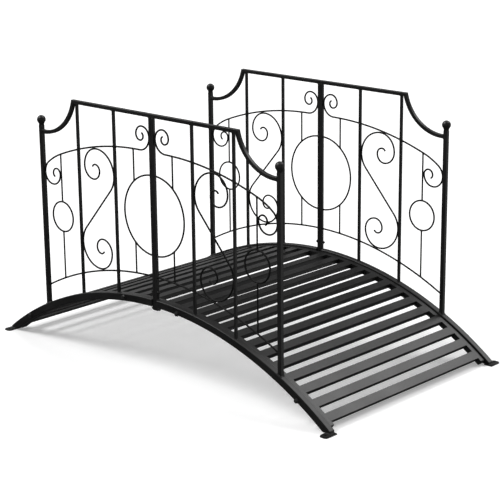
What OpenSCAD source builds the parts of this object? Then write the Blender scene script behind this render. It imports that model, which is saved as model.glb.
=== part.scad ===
// Arched garden footbridge with scrollwork railings.
// Millimetres, +X along the bridge, +Z up, ground at Z = 0.

/* [Arch] */
// Radius of the upper face of the side beams
arch_r = 1251; // [1150:1:1400]
// Height of the side beams at mid span
crown_h = 266; // [230:1:300]
// Distance between the planes of the two railings
rail_gap = 816; // [600:1:1000]
// Width of a side beam
beam_w = 22; // [16:1:30]
// Depth of a side beam
beam_h = 25; // [20:1:32]

/* [Feet] */
// Length of a foot plate along the bridge
foot_l = 30; // [24:1:40]
// Length of a foot plate across the bridge
foot_w = 51; // [44:1:70]
// Thickness of a foot plate
foot_t = 4; // [3:0.5:8]
// Diameter of an anchor hole
anchor_d = 7; // [5:0.5:10]

/* [Deck] */
// Depth of the deck below the top of the side beams
deck_drop = 6; // [2:1:12]
// Width of a deck frame rail
frame_w = 20; // [14:1:26]
// Depth of a deck frame rail
frame_h = 20; // [16:1:28]
// Slats in each half deck
slat_n = 13; // [8:1:14]
// Width of a slat
slat_w = 31; // [24:1:40]
// Thickness of a slat
slat_t = 15; // [8:1:18]
// Distance from mid span to the middle of the first slat
slat_first = 38; // [24:1:48]

/* [Railing] */
// Height of the top rails above the ground
rail_h = 880; // [800:1:960]
// Side of the square top rail
bar_w = 13; // [9:1:16]
// Radius of the swan-neck at each end of a top rail
swan_r = 162; // [145:1:180]
// Fall of the swan-neck from the top rail to the end post
swan_drop = 122; // [100:1:140]
// Distance from mid span to an end post
post_x = 548; // [520:1:580]
// Side of a square end post
post_w = 15; // [11:1:20]
// Rise of an end post above the swan-neck
post_rise = 22; // [14:1:30]
// Diameter of a ball finial
finial_d = 30; // [22:1:40]
// Distance from mid span to an outer baluster
outer_x = 360; // [335:1:368]
// Distance from mid span to an inner baluster
inner_x = 180; // [165:1:200]
// Side of a square baluster
baluster_w = 9; // [6:0.5:12]
// Side of a square centre post, one on each half panel
centre_w = 11; // [8:1:15]

/* [Scrollwork] */
// Diameter of the scroll rods
rod_d = 6; // [4:0.5:7]
// Diameter of the upright drop rods
drop_d = 5.6; // [4:0.2:6]
// Depth of the upper arch rod's crown below the top rail
upper_drop = 118; // [105:1:130]
// Radius of the lower arch rod
lower_r = 1152; // [1050:1:1250]
// Height of the lower arch rod's crown above the side beam
lower_rise = 76; // [60:1:90]
// Radius of the volutes beside the centre post
volute_r = 44.5; // [38:0.5:50]
// Radius of the upper arch rod where it bows down to the end post
shoulder_r = 255; // [220:1:290]
// Radius of its last bend against the end post
corner_r = 45; // [40:0.25:56]
// Radius of the large ring round the centre posts
ring_r = 133; // [110:1:150]
// Radius of the small rings
small_r = 52; // [40:1:60]

/* [Hidden] */
$fn = 48;
black = [0.06, 0.06, 0.065];
grey = [0.12, 0.12, 0.125];

// Side beams: one circle, with its middle below the ground
rail_y = rail_gap / 2;
arch_z = crown_h - arch_r;
beam_mid = arch_r - beam_h / 2;
foot_mid = sqrt(pow(beam_mid, 2) - pow(foot_t - arch_z, 2));
foot_x = foot_mid + foot_l / 6;
beam_end = foot_mid + foot_l / 3;
foot_in = rail_y - beam_w / 2;
foot_round = foot_l / 3;
anchor_y = foot_in + (beam_w + foot_w) / 2;

// Deck: concentric with the beams, the frame rails ending just above the ground
deck_r = arch_r - deck_drop;
frame_end = acos((foot_t / 2 - arch_z) / (deck_r - frame_h));
frame_out = rail_y - beam_w / 2;
frame_in = frame_out - frame_w;
deck_len = deck_r * frame_end * PI / 180;
slat_pitch = (deck_len - slat_w - slat_first) / (slat_n - 1);

// Railing levels
bar_z = rail_h - bar_w / 2;
swan_z = bar_z - swan_drop;
swan_x = post_x - post_w / 2 - bar_w / 2;
post_top = swan_z + post_rise;
rail_under = rail_h - bar_w;
corner_x = swan_x - 0.98 * swan_r;
post_low = crown_h - 1.5 * beam_h;
neck_d = post_w;
neck_h = 0.1 * finial_d;

// Radii of the quarter bends of each scroll, as shares of its first
end_ratio = [1, 1, 0.475, 0.45, 0.325];
volute_ratio = [1, 0.76, 0.61, 0.435, 0.315, 0.26];
s_ratio = [1, 0.745, 0.525, 0.37, 0.25, 0.18];
tip_turn = 65;
function bends(r, ratio) = [for (k = ratio) cut(k * r)];

// Upper arch rod: bends about upper, shoulder and corner, touching the centre post and the end post
upper_dir = [0.352, 0.936];
shoulder_dir = [0.6, 0.8];
post_touch = post_x - post_w / 2 - rod_d / 2;
upper_x = centre_w + rod_d / 2 + volute_r;
upper_top = bar_z - upper_drop;
bow = (post_touch - upper_x - 0.6 * shoulder_r - 0.4 * corner_r) / 0.352;
upper_r = shoulder_r + bow;
upper_z = upper_top - upper_r;
shoulder = [upper_x, upper_z] + bow * upper_dir;
corner = shoulder + (shoulder_r - corner_r) * shoulder_dir;
function upper_at(x) = upper_z + sqrt(pow(upper_r, 2) - pow(x - upper_x, 2));

// Lower arch rod: circle about [0, lower_z]
lower_z = crown_h + lower_rise - lower_r;
function lower_at(x) = lower_z + sqrt(pow(lower_r, 2) - pow(x, 2));

// Rings and their drop rods
ring_x = centre_w / 2;
ring_z = (upper_top + lower_z + lower_r - rod_d) / 2;
ring_turn = 190;
drop_x = inner_x / 2;
small_x = (post_x + outer_x) / 2;
small_z = (upper_at(small_x) + lower_at(small_x)) / 2;
end_r = cut((post_touch - small_x - drop_d / 2 - rod_d / 2 - 0.3) / 2);

// S-scroll: two equal spirals about the middle of the bay between the balusters
bay_x = (inner_x + outer_x) / 2;
s_r = bay_x - inner_x - baluster_w / 2 - rod_d / 2;
s_2 = cut(s_ratio[1] * s_r);
s_top = upper_z + sqrt(pow(upper_r - rod_d - s_2, 2) - pow(bay_x - upper_x, 2)) + s_2;
s_low = lower_z + sqrt(pow(lower_r + rod_d + s_2, 2) - pow(bay_x, 2)) - s_2;
s_mid = (s_top + s_low) / 2;
s_fall = s_top - s_r - s_mid;
s_lean = asin(0.88 * s_r / norm([s_fall, 0.12 * s_r])) + atan2(0.12 * s_r, s_fall);
s_turn = abs(s_lean - 41.2) < 1 ? atan2(0.658944, 0.752192) : s_lean;
s_bend = cut((s_fall * sin(s_turn) - s_r * cos(s_turn)) / (1 - cos(s_turn)));
s_len = cut((s_r - s_bend * (1 - cos(s_turn))) / sin(s_turn));

// Rounds a bend to hundredths, so that following bends meet exactly
function cut(v) = round(100 * v) / 100;

// Stands a drawing of half a panel, x outward and y upward, at a distance y from the middle of the bridge
module panel(sx, y) {
  translate([0, y, 0])
    rotate([90, 0, sx > 0 ? 0 : 180]) children();
}

// Part of a rod bent round c, from angle a0 through a
module bend(c, r, a0, a) {
  translate([c[0], c[1], 0])
    rotate([0, 0, a0])
      mirror_if(a < 0)
        rotate_extrude(angle = abs(a), $fn = r > 300 ? 720 : 64)
          translate([r, 0]) circle(d = rod_d, $fn = 20);
}

module mirror_if(on) {
  if (on) mirror([0, 1, 0]) children();
  else children();
}

// Part of a rod bent round c, between two directions, which a power of ten keeps exact
module sweep(c, r, d0, d1) {
  reach = pow(10, ceil(log(2 * r)));
  translate([c[0], c[1], 0])
    intersection() {
      rotate_extrude($fn = r > 300 ? 720 : 180)
        translate([r, 0]) circle(d = rod_d, $fn = 20);
      linear_extrude(height = 4 * rod_d, center = true) polygon([[0, 0], reach * d0, reach * d1]);
    }
}

// Quarter bends of the given radii, turning clockwise from angle a0 about c
module spiral(c, a0, list, i = 0) {
  if (i < len(list)) {
    last = i == len(list) - 1;
    bend(c, list[i], a0, last ? -tip_turn : -90);
    if (!last) {
      a1 = a0 - 90;
      step = (list[i] - list[i + 1]) * [round(cos(a1)), round(sin(a1))];
      spiral(c + step, a1, list, i + 1);
    }
  }
}

// Upright square bar standing on the beam
module upright(x, w, top) {
  difference() {
    translate([x - w / 2, 0, -w / 2]) cube([w, top, w]);
    translate([0, arch_z, 0]) cylinder(r = arch_r, h = 2 * w, center = true, $fn = 360);
  }
}

module bars() {
  for (x = [inner_x, outer_x])
    translate([x - baluster_w / 2, 0, -baluster_w / 2]) cube([baluster_w, rail_h, baluster_w]);
}

// Curved bar of depth h under radius r, cut between x0 and x1 and above floor
module curved(r, h, w, x0, x1, floor) {
  linear_extrude(height = w, center = true)
    intersection() {
      translate([0, arch_z])
        difference() {
          circle(r = r, $fn = 360);
          circle(r = r - h, $fn = 360);
        }
      translate([x0, floor]) square([x1 - x0, crown_h]);
    }
}

module beam() {
  curved(arch_r, beam_h, beam_w, centre_w, beam_end, foot_t);
}

module end_post() {
  upright(post_x, post_w, post_top);
}

module centre_post() {
  translate([0, post_low, -centre_w / 2]) cube([centre_w, rail_under - post_low, centre_w]);
}

module top_rail() {
  linear_extrude(height = bar_w, center = true)
    union() {
      translate([0, rail_under]) square([corner_x, bar_w]);
      intersection() {
        translate([swan_x, swan_z + swan_r])
          difference() {
            circle(r = swan_r + bar_w / 2, $fn = 180);
            circle(r = swan_r - bar_w / 2, $fn = 180);
          }
        translate([swan_x - 2 * swan_r, 0]) square([2 * swan_r, rail_h]);
      }
      translate([swan_x, swan_z - bar_w / 2]) square([bar_w / 2, bar_w]);
    }
}

module balusters() {
  upright(inner_x, baluster_w, rail_under);
  upright(outer_x, baluster_w, rail_under);
}

module upper_main() {
  sweep([upper_x, upper_z], upper_r, [0, 1], upper_dir);
}

module arch_scroll() {
  difference() {
    union() {
      upper_main();
      sweep(shoulder, shoulder_r, upper_dir, shoulder_dir);
      sweep(corner, corner_r, shoulder_dir, [1, 0]);
      spiral([post_touch - end_r, corner[1]], 0, bends(end_r, end_ratio));
      spiral([upper_x, upper_top + volute_r], 270, bends(volute_r, volute_ratio));
    }
    bars();
  }
}

module lower_main() {
  bend([0, lower_z], lower_r, 55, 40);
}

module lower_rod() {
  intersection() {
    difference() {
      lower_main();
      bars();
    }
    translate([centre_w, 0, -rod_d]) cube([post_x - post_w / 2 - centre_w, rail_h, 2 * rod_d]);
  }
}

module half_s() {
  rotate([0, 0, s_turn])
    translate([s_bend, s_len, 0])
      rotate([0, 0, -s_turn]) {
        sweep([0, 0], s_bend, [-1, 0], [-cos(s_turn), -sin(s_turn)]);
        spiral([s_r - s_bend, 0], 180, bends(s_r, s_ratio));
      }
}

module s_scroll() {
  translate([bay_x, s_mid, 0]) {
    rotate([0, 0, s_turn])
      rotate([90, 0, 0]) cylinder(d = rod_d, h = 2 * s_len, center = true, $fn = 20);
    half_s();
    rotate([0, 0, 180]) half_s();
  }
}

module big_ring() {
  intersection() {
    bend([ring_x, ring_z], ring_r, -ring_turn / 2, ring_turn);
    translate([centre_w, 0, -rod_d]) cube([2 * ring_r, rail_h, 2 * rod_d]);
  }
}

module small_ring() {
  translate([small_x, small_z, 0]) rotate_extrude($fn = 96) translate([small_r, 0]) circle(d = rod_d, $fn = 20);
}

module rings() {
  big_ring();
  small_ring();
}

module drop(x, y0, y1) {
  translate([x, y0, 0]) rotate([-90, 0, 0]) cylinder(d = drop_d, h = y1 - y0);
}

module drop_rods() {
  half = sqrt(pow(ring_r, 2) - pow(drop_x - ring_x, 2));
  difference() {
    union() {
      drop(drop_x, ring_z + half, upper_at(drop_x));
      drop(drop_x, lower_at(drop_x), ring_z - half);
      drop(small_x, small_z + small_r, upper_at(small_x));
      drop(small_x, lower_at(small_x), small_z - small_r);
    }
    upper_main();
    lower_main();
    big_ring();
    small_ring();
  }
}

module finial() {
  translate([post_x, post_top + finial_d / 2 + neck_h, 0]) sphere(d = finial_d);
  translate([post_x, post_top, 0]) rotate([-90, 0, 0]) cylinder(d = neck_d, h = finial_d / 2);
}

module foot_plate(sx, sy) {
  translate([sx * foot_x, sy * foot_in, 0])
    rotate([0, 0, sy > 0 ? 0 : 180])
      difference() {
        linear_extrude(height = foot_t) {
          translate([-foot_l / 2, 0]) square([foot_l, foot_w - foot_round]);
          translate([foot_round - foot_l / 2, 0]) square([foot_l - 2 * foot_round, foot_w]);
          for (s = [-1, 1]) translate([s * (foot_l / 2 - foot_round), foot_w - foot_round]) circle(r = foot_round);
        }
        translate([0, anchor_y - foot_in, -foot_t]) cylinder(d = anchor_d, h = 3 * foot_t);
      }
}

module deck_frame(sx) {
  for (sy = [-1, 1])
    panel(sx, sy * (frame_in + frame_w / 2))
      linear_extrude(height = frame_w, center = true)
        translate([0, arch_z])
          intersection() {
            difference() {
              circle(r = deck_r, $fn = 360);
              circle(r = deck_r - frame_h, $fn = 360);
            }
            polygon([[0, 0], [0, 2 * arch_r], 2 * arch_r * [sin(frame_end), cos(frame_end)]]);
          }
}

module slats(sx) {
  for (i = [0 : slat_n - 1])
    translate([0, 0, arch_z])
      rotate([0, sx * (slat_first + i * slat_pitch) / deck_r * 180 / PI, 0])
        translate([-slat_w / 2, -frame_in, deck_r - slat_t]) cube([slat_w, 2 * frame_in, slat_t]);
}

module front_left_beam() { color(black) panel(-1, -rail_y) beam(); }
module front_right_beam() { color(black) panel(1, -rail_y) beam(); }
module back_left_beam() { color(black) panel(-1, rail_y) beam(); }
module back_right_beam() { color(black) panel(1, rail_y) beam(); }
module foot_plates() { color(black) for (sx = [-1, 1], sy = [-1, 1]) foot_plate(sx, sy); }
module left_deck_frame() { color(black) deck_frame(-1); }
module right_deck_frame() { color(black) deck_frame(1); }
module left_slats() { color(grey) slats(-1); }
module right_slats() { color(grey) slats(1); }
module front_left_end_post() { color(black) panel(-1, -rail_y) end_post(); }
module front_right_end_post() { color(black) panel(1, -rail_y) end_post(); }
module back_left_end_post() { color(black) panel(-1, rail_y) end_post(); }
module back_right_end_post() { color(black) panel(1, rail_y) end_post(); }
module finials() { color(black) for (sx = [-1, 1], sy = [-1, 1]) panel(sx, sy * rail_y) finial(); }
module front_left_centre_post() { color(black) panel(-1, -rail_y) centre_post(); }
module front_right_centre_post() { color(black) panel(1, -rail_y) centre_post(); }
module back_left_centre_post() { color(black) panel(-1, rail_y) centre_post(); }
module back_right_centre_post() { color(black) panel(1, rail_y) centre_post(); }
module front_left_top_rail() { color(black) panel(-1, -rail_y) top_rail(); }
module front_right_top_rail() { color(black) panel(1, -rail_y) top_rail(); }
module back_left_top_rail() { color(black) panel(-1, rail_y) top_rail(); }
module back_right_top_rail() { color(black) panel(1, rail_y) top_rail(); }
module front_left_balusters() { color(black) panel(-1, -rail_y) balusters(); }
module front_right_balusters() { color(black) panel(1, -rail_y) balusters(); }
module back_left_balusters() { color(black) panel(-1, rail_y) balusters(); }
module back_right_balusters() { color(black) panel(1, rail_y) balusters(); }
module front_left_arch_scroll() { color(black) panel(-1, -rail_y) arch_scroll(); }
module front_right_arch_scroll() { color(black) panel(1, -rail_y) arch_scroll(); }
module back_left_arch_scroll() { color(black) panel(-1, rail_y) arch_scroll(); }
module back_right_arch_scroll() { color(black) panel(1, rail_y) arch_scroll(); }
module front_left_lower_rod() { color(black) panel(-1, -rail_y) lower_rod(); }
module front_right_lower_rod() { color(black) panel(1, -rail_y) lower_rod(); }
module back_left_lower_rod() { color(black) panel(-1, rail_y) lower_rod(); }
module back_right_lower_rod() { color(black) panel(1, rail_y) lower_rod(); }
module front_left_s_scroll() { color(black) panel(-1, -rail_y) s_scroll(); }
module front_right_s_scroll() { color(black) panel(1, -rail_y) s_scroll(); }
module back_left_s_scroll() { color(black) panel(-1, rail_y) s_scroll(); }
module back_right_s_scroll() { color(black) panel(1, rail_y) s_scroll(); }
module front_left_rings() { color(black) panel(-1, -rail_y) rings(); }
module front_right_rings() { color(black) panel(1, -rail_y) rings(); }
module back_left_rings() { color(black) panel(-1, rail_y) rings(); }
module back_right_rings() { color(black) panel(1, rail_y) rings(); }
module front_drop_rods() { color(black) for (sx = [-1, 1]) panel(sx, -rail_y) drop_rods(); }
module back_drop_rods() { color(black) for (sx = [-1, 1]) panel(sx, rail_y) drop_rods(); }

front_left_beam();
front_right_beam();
back_left_beam();
back_right_beam();
foot_plates();
left_deck_frame();
right_deck_frame();
left_slats();
right_slats();
front_left_end_post();
front_right_end_post();
back_left_end_post();
back_right_end_post();
finials();
front_left_centre_post();
front_right_centre_post();
back_left_centre_post();
back_right_centre_post();
front_left_top_rail();
front_right_top_rail();
back_left_top_rail();
back_right_top_rail();
front_left_balusters();
front_right_balusters();
back_left_balusters();
back_right_balusters();
front_left_arch_scroll();
front_right_arch_scroll();
back_left_arch_scroll();
back_right_arch_scroll();
front_left_lower_rod();
front_right_lower_rod();
back_left_lower_rod();
back_right_lower_rod();
front_left_s_scroll();
front_right_s_scroll();
back_left_s_scroll();
back_right_s_scroll();
front_left_rings();
front_right_rings();
back_left_rings();
back_right_rings();
front_drop_rods();
back_drop_rods();
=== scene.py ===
# Arched garden footbridge in black powder-coated steel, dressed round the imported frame. Metres, Z up.
import math

import bmesh
import bpy
from mathutils import Matrix, Vector


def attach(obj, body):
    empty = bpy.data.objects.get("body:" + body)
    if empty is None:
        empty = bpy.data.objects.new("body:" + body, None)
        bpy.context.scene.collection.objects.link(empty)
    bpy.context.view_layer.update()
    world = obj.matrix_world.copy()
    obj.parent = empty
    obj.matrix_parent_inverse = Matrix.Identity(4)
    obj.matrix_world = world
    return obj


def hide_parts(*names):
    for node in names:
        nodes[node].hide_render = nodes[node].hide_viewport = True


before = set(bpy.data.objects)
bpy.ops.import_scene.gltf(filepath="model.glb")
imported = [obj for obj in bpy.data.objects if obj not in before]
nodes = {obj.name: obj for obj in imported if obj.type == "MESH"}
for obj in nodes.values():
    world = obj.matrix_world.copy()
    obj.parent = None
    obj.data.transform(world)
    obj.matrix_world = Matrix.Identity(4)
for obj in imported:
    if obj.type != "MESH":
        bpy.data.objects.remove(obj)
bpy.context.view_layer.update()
print("frame:", len(nodes), "nodes")

railY = {"front": -0.408, "back": 0.408}  # front is the -Y railing
outward = {"left": -1, "right": 1}  # left is -X
arch = {"middle": -0.985, "beamTop": 1.251, "deckTop": 1.245}  # one centre for beams and deck
mergeGap = 0.00001


def archHeight(x, radius):
    return arch["middle"] + math.sqrt(radius ** 2 - x ** 2)


# finishes: black powder coat, smoothest on the deck and dullest on the thin rods, bolts in black zinc
railingCoat = {"name": "railingCoat", "low": 0.0035, "high": 0.0075, "roughLow": 0.34, "roughHigh": 0.46,
               "specular": 0.4, "peelScale": 620, "peelDepth": 0.00006, "cloudScale": 9}
rodCoat = {"name": "rodCoat", "low": 0.0025, "high": 0.005, "roughLow": 0.5, "roughHigh": 0.62,
           "specular": 0.16, "peelScale": 620, "peelDepth": 0.00006, "cloudScale": 9}
deckCoat = {"name": "deckCoat", "low": 0.004, "high": 0.009, "roughLow": 0.33, "roughHigh": 0.42,
            "specular": 0.45, "peelScale": 540, "peelDepth": 0.00007, "cloudScale": 7}
boltCoat = {"name": "boltCoat", "low": 0.006, "high": 0.012, "roughLow": 0.26, "roughHigh": 0.38,
            "specular": 0.5, "peelScale": 900, "peelDepth": 0.00003, "cloudScale": 60}
coatGrain = {"cloudDetail": 4, "peelDetail": 2, "toneLow": 0.3, "toneHigh": 0.7, "sheenLow": 0.45,
             "sheenHigh": 0.9, "peelShare": 0.35, "peelStrength": 0.55}  # the same in every finish


def addNode(tree, kind, values=None, operation=None):
    node = tree.nodes.new("ShaderNode" + kind)
    if operation:
        node.operation = operation
    for socket, value in (values or {}).items():
        node.inputs[socket].default_value = value
    return node


def powderCoat(finish):
    mat = bpy.data.materials.new(finish["name"])
    mat.use_nodes = True
    tree = mat.node_tree
    shader = tree.nodes["Principled BSDF"]
    shader.inputs["Specular IOR Level"].default_value = finish["specular"]
    place = addNode(tree, "TexCoord")
    # cloud is the slow drift of the coat's thickness, peel its fine orange peel
    cloud = addNode(tree, "TexNoise", {"Scale": finish["cloudScale"], "Detail": coatGrain["cloudDetail"]})
    peel = addNode(tree, "TexNoise", {"Scale": finish["peelScale"], "Detail": coatGrain["peelDetail"]})
    tone = addNode(tree, "MapRange", {"From Min": coatGrain["toneLow"], "From Max": coatGrain["toneHigh"],
                                      "To Min": finish["low"], "To Max": finish["high"]})
    both = addNode(tree, "Math", {1: coatGrain["peelShare"]}, "MULTIPLY_ADD")
    sheen = addNode(tree, "MapRange", {"From Min": coatGrain["sheenLow"], "From Max": coatGrain["sheenHigh"],
                                       "To Min": finish["roughLow"], "To Max": finish["roughHigh"]})
    dent = addNode(tree, "Bump", {"Strength": coatGrain["peelStrength"], "Distance": finish["peelDepth"]})
    link = tree.links.new
    link(place.outputs["Object"], cloud.inputs["Vector"])
    link(place.outputs["Object"], peel.inputs["Vector"])
    link(cloud.outputs["Fac"], tone.inputs["Value"])
    link(peel.outputs["Fac"], both.inputs[0])
    link(cloud.outputs["Fac"], both.inputs[2])
    link(both.outputs["Value"], sheen.inputs["Value"])
    link(peel.outputs["Fac"], dent.inputs["Height"])
    link(tone.outputs["Result"], shader.inputs["Base Color"])
    link(sheen.outputs["Result"], shader.inputs["Roughness"])
    link(dent.outputs["Normal"], shader.inputs["Normal"])
    return mat


coats = {"railing_black": powderCoat(railingCoat), "deck_black": powderCoat(deckCoat)}
rodBlack = powderCoat(rodCoat)
boltBlack = powderCoat(boltCoat)
print("finishes ready")


# a finished bmesh becomes a piece that rides on the bridge
def asPiece(bm, name, slotName, coat=None, sharp=35):
    mesh = bpy.data.meshes.new(name)
    bmesh.ops.recalc_face_normals(bm, faces=bm.faces)
    for face in bm.faces:
        face.smooth = True
    bm.to_mesh(mesh)
    bm.free()
    mesh.set_sharp_from_angle(angle=math.radians(sharp))
    piece = bpy.data.objects.new(name, mesh)
    bpy.context.scene.collection.objects.link(piece)
    mesh.materials.append(coat or coats[slotName])
    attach(piece, "root")
    return piece


def mergedCopy(nodeName):
    bm = bmesh.new()
    bm.from_mesh(nodes[nodeName].data)
    bmesh.ops.remove_doubles(bm, verts=bm.verts, dist=mergeGap)
    return bm


def spinOutline(bm, outline, around):  # outline is radius and height, from axis to axis
    points = [bm.verts.new((radius, 0, height)) for radius, height in outline]
    edges = [bm.edges.new(pair) for pair in zip(points, points[1:])]
    bmesh.ops.spin(bm, geom=points + edges, axis=(0, 0, 1), cent=(0, 0, 0), angle=2 * math.pi,
                   steps=around, use_merge=True)
    bmesh.ops.remove_doubles(bm, verts=bm.verts, dist=mergeGap)


def addOnto(bm, one, place):
    bmesh.ops.transform(one, verts=one.verts, matrix=place)
    part = bpy.data.meshes.new("onePart")
    one.to_mesh(part)
    one.free()
    bm.from_mesh(part)
    bpy.data.meshes.remove(part)


def alongAxis(axis):
    return Vector(axis).to_track_quat("Z", "Y").to_matrix()


# square tube and bar: every drawn corner is rounded, and the deck frame's tubes are open at the ground
barWork = {
    "beam": {"radius": 0.0022, "slot": "railing_black"},
    "end_post": {"radius": 0.002, "slot": "railing_black"},
    "centre_post": {"radius": 0.0015, "slot": "railing_black"},
    "top_rail": {"radius": 0.0019, "slot": "railing_black"},
    "balusters": {"radius": 0.0011, "slot": "railing_black"},
}
deckWork = {
    "deck_frame": {"radius": 0.0018, "slot": "deck_black", "wall": 0.0015, "hollow": 0.03, "lowest": 0.04,
                   "facing": 0.95, "leastArea": 0.00015},
    "slats": {"radius": 0.0014, "slot": "deck_black"},
}
roundWork = {"flat": 0.4, "corner": 50, "segments": 3, "normalWeight": 60}  # flat and corner in degrees
flushSeam = {"y": 0.377, "reach": 0.0005, "radius": 1.2}  # slat ends against the frame, left square


def fromArch(point):
    return Vector((point.x, 0, point.z - arch["middle"]))


def openEnds(bm, work):
    for face in list(bm.faces):
        middle = face.calc_center_median()
        alongBar = Vector((0, 1, 0)).cross(fromArch(middle).normalized()) * math.copysign(1, middle.x)
        if middle.z > work["lowest"] or face.calc_area() < work["leastArea"]:
            continue
        if face.normal.dot(alongBar) < work["facing"]:
            continue
        bmesh.ops.inset_region(bm, faces=[face], thickness=work["wall"], depth=0)
        inner = bmesh.ops.extrude_discrete_faces(bm, faces=[face])["faces"][0]
        bmesh.ops.translate(bm, verts=inner.verts, vec=-inner.normal * work["hollow"])


def groundFlush(edge):
    return all(abs(abs(v.co.y) - flushSeam["y"]) < flushSeam["reach"]
               and fromArch(v.co).length > flushSeam["radius"] for v in edge.verts)


def roundedBar(nodeName, work):
    bm = mergedCopy(nodeName)
    bmesh.ops.dissolve_limit(bm, angle_limit=math.radians(roundWork["flat"]), verts=bm.verts, edges=bm.edges)
    corner = math.radians(roundWork["corner"])
    corners = [e for e in bm.edges if e.is_manifold and e.calc_face_angle(0) > corner and not groundFlush(e)]
    bmesh.ops.bevel(bm, geom=corners, offset=work["radius"], offset_type="OFFSET", affect="EDGES",
                    segments=roundWork["segments"], profile=0.5, material=-1, clamp_overlap=True)
    if "hollow" in work:
        openEnds(bm, work)
    piece = asPiece(bm, nodeName + "_rounded", work["slot"])
    weigh = piece.modifiers.new("evenNormals", "WEIGHTED_NORMAL")
    weigh.keep_sharp = True
    weigh.weight = roundWork["normalWeight"]
    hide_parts(nodeName)


for side in railY:
    for half in outward:
        for kind, work in barWork.items():
            roundedBar(f"{side}_{half}_{kind}", work)
for half in outward:
    for kind, work in deckWork.items():
        roundedBar(f"{half}_{kind}", work)
print("bars and deck rounded")

# rods, rings and feet: smooth copies, the rods in the duller coat
smoothWork = {"foot_plates": coats["railing_black"]}
for side in railY:
    smoothWork[f"{side}_drop_rods"] = rodBlack
for side in railY:
    for half in outward:
        for kind in ("arch_scroll", "lower_rod", "s_scroll", "rings"):
            smoothWork[f"{side}_{half}_{kind}"] = rodBlack
for nodeName, coat in smoothWork.items():
    piece = asPiece(mergedCopy(nodeName), nodeName + "_smooth", "railing_black", coat)
    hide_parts(nodeName)
print("rods smoothed")

# ball finials, spun with a short neck that flares from the post into the ball
finialWork = {"postX": 0.548, "postTop": 0.7735, "ball": 0.015, "middle": 0.018, "neck": 0.0088,
              "sunk": 0.0016, "straight": 0.15, "flare": 0.0112, "flareStops": (0.4, 0.6, 0.8),
              "steps": 20, "around": 48, "sharp": 40}


def finialOutline(work):
    start = math.asin(work["flare"] / work["ball"])
    seat = work["middle"] - work["ball"] * math.cos(start)
    widen = work["flare"] - work["neck"]
    outline = [(0, -work["sunk"]), (work["neck"], -work["sunk"]), (work["neck"], seat * work["straight"])]
    outline += [(work["neck"] + widen * share ** 2, seat * share) for share in work["flareStops"]]
    for step in range(work["steps"] + 1):
        turn = start + (math.pi - start) * step / work["steps"]
        outline.append((work["ball"] * math.sin(turn), work["middle"] - work["ball"] * math.cos(turn)))
    return outline


bm = bmesh.new()
for y in railY.values():
    for sx in outward.values():
        one = bmesh.new()
        spinOutline(one, finialOutline(finialWork), finialWork["around"])
        addOnto(bm, one, Matrix.Translation((sx * finialWork["postX"], y, finialWork["postTop"])))
finials = asPiece(bm, "finials_spun", "railing_black", sharp=finialWork["sharp"])
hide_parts("finials")
print("finials spun")

# weld beads: rippled runs, each a path, whether it closes, and a radius
weldWork = {"post": 0.0019, "bar": 0.0013, "rod": 0.0011, "deck": 0.0014, "pitch": 0.0008, "ripple": 3,
            "swell": 0.13, "sides": 1, "endTaper": 0.7, "ringSteps": 14, "sharp": 180}


def alongPath(corners, closed, pitch):
    stops = corners + corners[:1] if closed else corners
    run = []
    for a, b in zip(stops, stops[1:]):
        count = max(1, round((Vector(b) - Vector(a)).length / pitch))
        run += [Vector(a).lerp(Vector(b), i / count) for i in range(count)]
    return run if closed else run + [Vector(stops[-1])]


def beadCurve(name, beads, places, slotName):
    curve = bpy.data.curves.new(name, "CURVE")
    curve.dimensions = "3D"
    curve.bevel_depth = 1  # so a point's radius is the bead's own
    curve.bevel_resolution = weldWork["sides"]
    curve.use_fill_caps = True
    for place in places:
        for corners, closed, size in beads:
            run = alongPath(corners, closed, weldWork["pitch"])
            spline = curve.splines.new("POLY")
            spline.points.add(len(run) - 1)
            spline.use_cyclic_u = closed
            for i, point in enumerate(run):
                swell = 1 + weldWork["swell"] * math.cos(2 * math.pi * i / weldWork["ripple"])
                taper = weldWork["endTaper"] if not closed and i in (0, len(run) - 1) else 1
                spline.points[i].co = (place @ point).to_4d()
                spline.points[i].radius = size * swell * taper
    holder = bpy.data.objects.new(name + "Run", curve)
    mesh = bpy.data.meshes.new_from_object(holder)
    bpy.data.objects.remove(holder)
    bpy.data.curves.remove(curve)
    bm = bmesh.new()
    bm.from_mesh(mesh)
    bpy.data.meshes.remove(mesh)
    bmesh.ops.remove_doubles(bm, verts=bm.verts, dist=mergeGap)
    return asPiece(bm, name, slotName, sharp=weldWork["sharp"])


def circle(middle, radius, axis):
    spin = alongAxis(axis)
    turns = [2 * math.pi * i / weldWork["ringSteps"] for i in range(weldWork["ringSteps"])]
    ring = [Vector((radius * math.cos(turn), radius * math.sin(turn), 0)) for turn in turns]
    return [Vector(middle) + spin @ point for point in ring]


def squareLoop(x, half):
    return [(x - half, -half), (x + half, -half), (x + half, half), (x - half, half)]


def footLoop(x, half):
    return [(px, py, archHeight(px, arch["beamTop"])) for px, py in squareLoop(x, half)]


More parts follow.
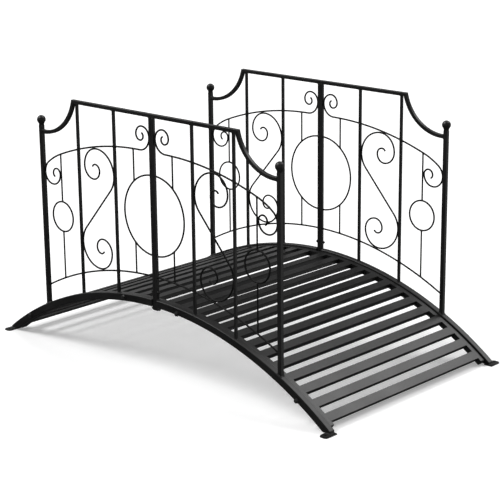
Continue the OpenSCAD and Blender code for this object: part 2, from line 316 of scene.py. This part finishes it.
# one half panel, with x outward, y across and z up
panelWork = {
    "inner": 0.18, "outer": 0.36, "barHalf": 0.0045, "barOff": 0.0004,  # balusters
    "post": 0.548, "postHalf": 0.0075, "postOff": 0.0006,  # end post
    "centre": 0.011, "centreHalf": 0.0055, "split": 0.001,  # centre post, from its split to its outer face
    "railUnder": 0.867, "railHalf": 0.0065, "swan": 0.7515, "railShare": 0.8,  # top rail and its swan-neck
    "beamDeep": 0.024, "beamHalf": 0.011, "footFrom": 0.737, "footTo": 0.7555, "plateTop": 0.004,  # beam
    "rod": 0.003, "drop": 0.0028, "rodOff": 0.0002, "dropShare": 0.9,  # radii of the rods
    "rodEnds": {"centre": (0.342, 0.6786, 0.4129), "post": (0.207,),  # heights, by the upright they end on
                "inner": (0.3278, 0.7489), "outer": (0.2843, 0.7146)},
    "ringDrops": (0.09, (0.7521, 0.6505, 0.4410, 0.3413)),  # x and heights, at the large ring
    "bayDrops": (0.454, (0.6808, 0.5213, 0.4114, 0.2515)),  # and at the small ring in the end bay
    "volute": 0.8, "cScroll": 0.6125, "sHigh": 0.6457, "sLow": 0.4002,  # heights of scrolls on uprights
    "sOnRods": ((0.2828, 0.73, -0.203), (0.2557, 0.3163, -0.227)),  # x, height and slope of the S on rods
    "touchRun": 0.0045, "touchSide": 0.0015, "touchShare": 1.15,
}


def panelBeads(size):
    bead = weldWork["bar"]
    under = size["railUnder"]
    centre = size["centre"]
    postFace = size["post"] - size["postHalf"]
    beads = [(footLoop(size["post"], size["postHalf"] + size["postOff"]), True, weldWork["post"])]
    barLoop = size["barHalf"] + size["barOff"]
    for x in (size["inner"], size["outer"]):
        beads.append((footLoop(x, barLoop), True, bead))
        top = [(px, py, under) for px, py in squareLoop(x, barLoop)]
        beads.append((top, True, bead * size["railShare"]))
    # centre post: under the top rail, and where the beam ends against it
    half = size["centreHalf"]
    split = size["split"]
    top = [(split, -half, under), (centre, -half, under), (centre, half, under), (split, half, under)]
    beads.append((top, False, bead * size["railShare"]))
    low = archHeight(centre, arch["beamTop"] - size["beamDeep"])
    high = archHeight(centre, arch["beamTop"])
    end = [(centre, -half, low), (centre, -half, high), (centre, half, high), (centre, half, low)]
    beads.append((end, False, bead))
    # swan-neck against the end post
    neck = [(postFace, py, size["swan"] + pz) for py, pz in squareLoop(0, size["railHalf"])]
    beads.append((neck, True, bead))
    # rods that end on an upright: a ring of weld round each
    faces = {"centre": (centre,), "post": (postFace,)}
    for bar in ("inner", "outer"):
        faces[bar] = (size[bar] - size["barHalf"], size[bar] + size["barHalf"])
    for bar, heights in size["rodEnds"].items():
        for z in heights:
            for x in faces[bar]:
                ring = circle((x, 0, z), size["rod"] + size["rodOff"], (1, 0, 0))
                beads.append((ring, True, weldWork["rod"]))
    # drop rods between the arch rods and the rings
    for x, heights in (size["ringDrops"], size["bayDrops"]):
        for z in heights:
            ring = circle((x, 0, z), size["drop"] + size["rodOff"], (0, 0, 1))
            beads.append((ring, True, weldWork["rod"] * size["dropShare"]))
    # scrolls that lie against an upright or a rod: a short run on each side
    upright = Vector((0, 0, 1))
    touches = [(centre, size["volute"], upright), (postFace, size["cScroll"], upright),
               (size["inner"] + size["barHalf"], size["sHigh"], upright),
               (size["outer"] - size["barHalf"], size["sLow"], upright)]
    touches += [(x, z, Vector((1, 0, slope)).normalized()) for x, z, slope in size["sOnRods"]]
    for x, z, way in touches:
        run = way * size["touchRun"]
        for y in (-size["touchSide"], size["touchSide"]):
            spot = Vector((x, y, z))
            beads.append(([spot - run, spot, spot + run], False, weldWork["rod"] * size["touchShare"]))
    # beam foot on its plate
    foot = [(size["footFrom"], size["beamHalf"]), (size["footTo"], size["beamHalf"]),
            (size["footTo"], -size["beamHalf"])]
    beads.append(([(px, py, size["plateTop"]) for px, py in foot], False, weldWork["post"]))
    return beads


for side, y in railY.items():
    for half, sx in outward.items():
        place = Matrix.Translation((0, y, 0)) @ Matrix.Diagonal((sx, math.copysign(1, y), 1, 1))
        beadCurve(f"{side}_{half}_welds", panelBeads(panelWork), [place], "railing_black")
print("panel welds run")

# slats are welded under and beside their ends, and ground flush on top
slatWork = {"count": 13, "first": 0.038, "last": 0.7582, "width": 0.031, "thick": 0.015, "end": 0.377,
            "clear": 0.004}


def slatBeads(work):
    half = work["width"] / 2
    low = arch["deckTop"] - work["thick"]
    high = arch["deckTop"] - work["clear"]
    beads = []
    for y in (-work["end"], work["end"]):
        path = [(-half, y, high), (-half, y, low), (half, y, low), (half, y, high)]
        beads.append((path, False, weldWork["deck"]))
    return beads


step = (slatWork["last"] - slatWork["first"]) / (slatWork["count"] - 1)
for half, sx in outward.items():
    turns = [sx * (slatWork["first"] + i * step) / arch["deckTop"] for i in range(slatWork["count"])]
    places = [Matrix.Translation((0, 0, arch["middle"])) @ Matrix.Rotation(turn, 4, "Y") for turn in turns]
    beadCurve(f"{half}_deck_welds", slatBeads(slatWork), places, "deck_black")
print("deck welds run")

# bolts: M8 through the beams into the deck frame, M6 through the paired centre posts
# the deck bolts' spots are their two x and an arch radius, by the hand of the half panel
deckBolt = {"flats": 0.013, "head": 0.0053, "washer": 0.0175, "plate": 0.0016, "face": 0.419,
            "spots": {1: ((0.145, 0.645), 1.2395), -1: ((0.108, 0.623), 1.2318)}}
centreBolt = {"flats": 0.01, "head": 0.004, "washer": 0.0115, "plate": 0.0012, "face": 0.011,
              "heights": (0.2345, 0.291), "thread": 0.003, "proud": 0.0085}
boltWork = {"around": 36, "washerRound": 0.3, "crownRound": 0.14, "segments": 2, "nearTop": 0.0001,
            "sharp": 30}
threadWork = {"turns": 8, "crest": 0.2, "root": 0.7, "rootShare": 0.87, "tipShare": 0.8, "around": 20}


def roundTop(bm, top, size):
    rim = [e for e in bm.edges if all(v.co.z > top - boltWork["nearTop"] for v in e.verts)]
    bmesh.ops.bevel(bm, geom=rim, offset=size, affect="EDGES", segments=boltWork["segments"], profile=0.5,
                    material=-1)


def hexHead(bm, work):
    disc = work["washer"] / 2
    plate = work["plate"]
    head = work["head"]
    corner = work["flats"] / math.sqrt(3)
    bmesh.ops.create_cone(bm, cap_ends=True, segments=boltWork["around"], radius1=disc, radius2=disc,
                          depth=plate, matrix=Matrix.Translation((0, 0, plate / 2)))
    roundTop(bm, plate, plate * boltWork["washerRound"])
    bmesh.ops.create_cone(bm, cap_ends=True, segments=6, radius1=corner, radius2=corner,
                          depth=head, matrix=Matrix.Translation((0, 0, plate + head / 2)))
    roundTop(bm, plate + head, head * boltWork["crownRound"])


def threadEnd(bm, work):
    radius = work["thread"]
    pitch = work["proud"] / threadWork["turns"]
    outline = [(0, 0), (radius, 0)]
    for i in range(threadWork["turns"]):
        outline.append((radius, pitch * (i + threadWork["crest"])))
        outline.append((radius * threadWork["rootShare"], pitch * (i + threadWork["root"])))
    outline += [(radius * threadWork["tipShare"], work["proud"]), (0, work["proud"])]
    spinOutline(bm, outline, threadWork["around"])


def addBolt(bm, makers, work, spot, axis):
    one = bmesh.new()
    for maker in makers:
        maker(one, work)
    addOnto(bm, one, Matrix.Translation(spot) @ alongAxis(axis).to_4x4())


for side, y in railY.items():
    way = math.copysign(1, y)
    bm = bmesh.new()
    for sx in outward.values():
        spread, radius = deckBolt["spots"][sx * way]
        for x in spread:
            spot = (sx * x, way * deckBolt["face"], archHeight(x, radius))
            addBolt(bm, [hexHead], deckBolt, spot, (0, way, 0))
    for z in centreBolt["heights"]:
        addBolt(bm, [hexHead, threadEnd], centreBolt, (way * centreBolt["face"], y, z), (way, 0, 0))
        addBolt(bm, [hexHead], centreBolt, (-way * centreBolt["face"], y, z), (-way, 0, 0))
    asPiece(bm, f"{side}_bolts", "railing_black", boltBlack, boltWork["sharp"])
print("bolts fitted")

# pale floor
white = (1, 1, 1, 1)
floorWork = {"size": 60, "tone": 0.8, "rough": 0.8, "glow": 0.29}
bm = bmesh.new()
bmesh.ops.create_grid(bm, x_segments=1, y_segments=1, size=floorWork["size"] / 2)
mesh = bpy.data.meshes.new("floor")
bm.to_mesh(mesh)
bm.free()
floor = bpy.data.objects.new("floor", mesh)
bpy.context.scene.collection.objects.link(floor)
floorMat = bpy.data.materials.new("paleFloor")
floorMat.use_nodes = True
floorShader = floorMat.node_tree.nodes["Principled BSDF"]
floorShader.inputs["Base Color"].default_value = (floorWork["tone"],) * 3 + (1,)
floorShader.inputs["Roughness"].default_value = floorWork["rough"]
floorShader.inputs["Specular IOR Level"].default_value = 0
floorShader.inputs["Emission Color"].default_value = white
floorShader.inputs["Emission Strength"].default_value = floorWork["glow"]
mesh.materials.append(floorMat)
floor.visible_glossy = False  # the coat mirrors the dark lower studio, and stays black

# studio: a band of light round the horizon and one overhead, as tone by the height of the ray
skyWork = {-1: 0.04, -0.03: 0.05, 0.02: 0.7, 0.17: 0.6, 0.3: 0.08, 0.5: 0.08, 1: 0.6}
# and a pale low corner, so that the posts' right faces read lighter
cornerWork = {"toward": (0.74, 0.67, 0), "start": 0.7, "full": 0.93, "tone": 0.5, "top": 0, "deep": -0.1}
world = bpy.data.worlds.new("studio")
bpy.context.scene.world = world
world.use_nodes = True
tree = world.node_tree
sky = tree.nodes["Background"]
paper = addNode(tree, "Background", {"Color": white})  # where the camera looks past the floor
pick = addNode(tree, "MixShader")
ray = addNode(tree, "LightPath")
heading = addNode(tree, "TexCoord")
split = addNode(tree, "SeparateXYZ")
height = addNode(tree, "MapRange", {"From Min": -1})
bands = addNode(tree, "ValToRGB")
ramp = bands.color_ramp
while len(ramp.elements) < len(skyWork):
    ramp.elements.new(1)
for stop, (rise, tone) in zip(ramp.elements, skyWork.items()):
    stop.position = (rise + 1) / 2
    stop.color = (tone, tone, tone, 1)
facing = addNode(tree, "VectorMath", {1: cornerWork["toward"]}, "DOT_PRODUCT")
inCorner = addNode(tree, "MapRange", {"From Min": cornerWork["start"], "From Max": cornerWork["full"],
                                      "To Max": cornerWork["tone"]})
lowDown = addNode(tree, "MapRange", {"From Min": cornerWork["top"], "From Max": cornerWork["deep"]})
total = addNode(tree, "Math", operation="MULTIPLY_ADD")
link = tree.links.new
link(heading.outputs["Generated"], split.inputs["Vector"])
link(split.outputs["Z"], height.inputs["Value"])
link(height.outputs["Result"], bands.inputs["Fac"])
link(heading.outputs["Generated"], facing.inputs[0])
link(facing.outputs["Value"], inCorner.inputs["Value"])
link(split.outputs["Z"], lowDown.inputs["Value"])
link(inCorner.outputs["Result"], total.inputs[0])
link(lowDown.outputs["Result"], total.inputs[1])
link(bands.outputs["Color"], total.inputs[2])
link(total.outputs["Value"], sky.inputs["Color"])
link(ray.outputs["Is Camera Ray"], pick.inputs["Fac"])
link(sky.outputs["Background"], pick.inputs[1])
link(paper.outputs["Background"], pick.inputs[2])
link(pick.outputs["Shader"], tree.nodes["World Output"].inputs["Surface"])

# soft lamps, angles in degrees
lampWork = {
    "key": {"energy": 1.8, "angle": 25, "from": (-0.5, -0.42, 0.76)},
    "sidePanel": {"energy": 0.6, "angle": 30, "from": (-0.74, -0.2, 0.64)},
    "backPanel": {"energy": 1.4, "angle": 36, "from": (0.2, 0.6, 0.77)},
}
for name, work in lampWork.items():
    lampData = bpy.data.lights.new(name, "SUN")
    lampData.energy = work["energy"]
    lampData.angle = math.radians(work["angle"])
    lamp = bpy.data.objects.new(name, lampData)
    bpy.context.scene.collection.objects.link(lamp)
    lamp.rotation_euler = Vector(work["from"]).to_track_quat("Z", "Y").to_euler()

# camera, turned in degrees, with lens and sensor in millimetres
cameraWork = {"place": (3.6378, -3.7918, 1.8321), "yaw": 43.527, "pitch": 15.791, "roll": -0.56,
              "lens": 114.82, "sensor": 36}
cameraData = bpy.data.cameras.new("photoView")
cameraData.sensor_width = cameraWork["sensor"]
cameraData.lens = cameraWork["lens"]
camera = bpy.data.objects.new("photoView", cameraData)
bpy.context.scene.collection.objects.link(camera)
turn = (Matrix.Rotation(math.radians(cameraWork["yaw"]), 4, "Z")
        @ Matrix.Rotation(math.radians(90 - cameraWork["pitch"]), 4, "X")
        @ Matrix.Rotation(math.radians(cameraWork["roll"]), 4, "Z"))
camera.matrix_world = Matrix.Translation(cameraWork["place"]) @ turn
bpy.context.scene.camera = camera
bpy.context.scene.view_settings.view_transform = "Standard"
print("floor, light and camera set")
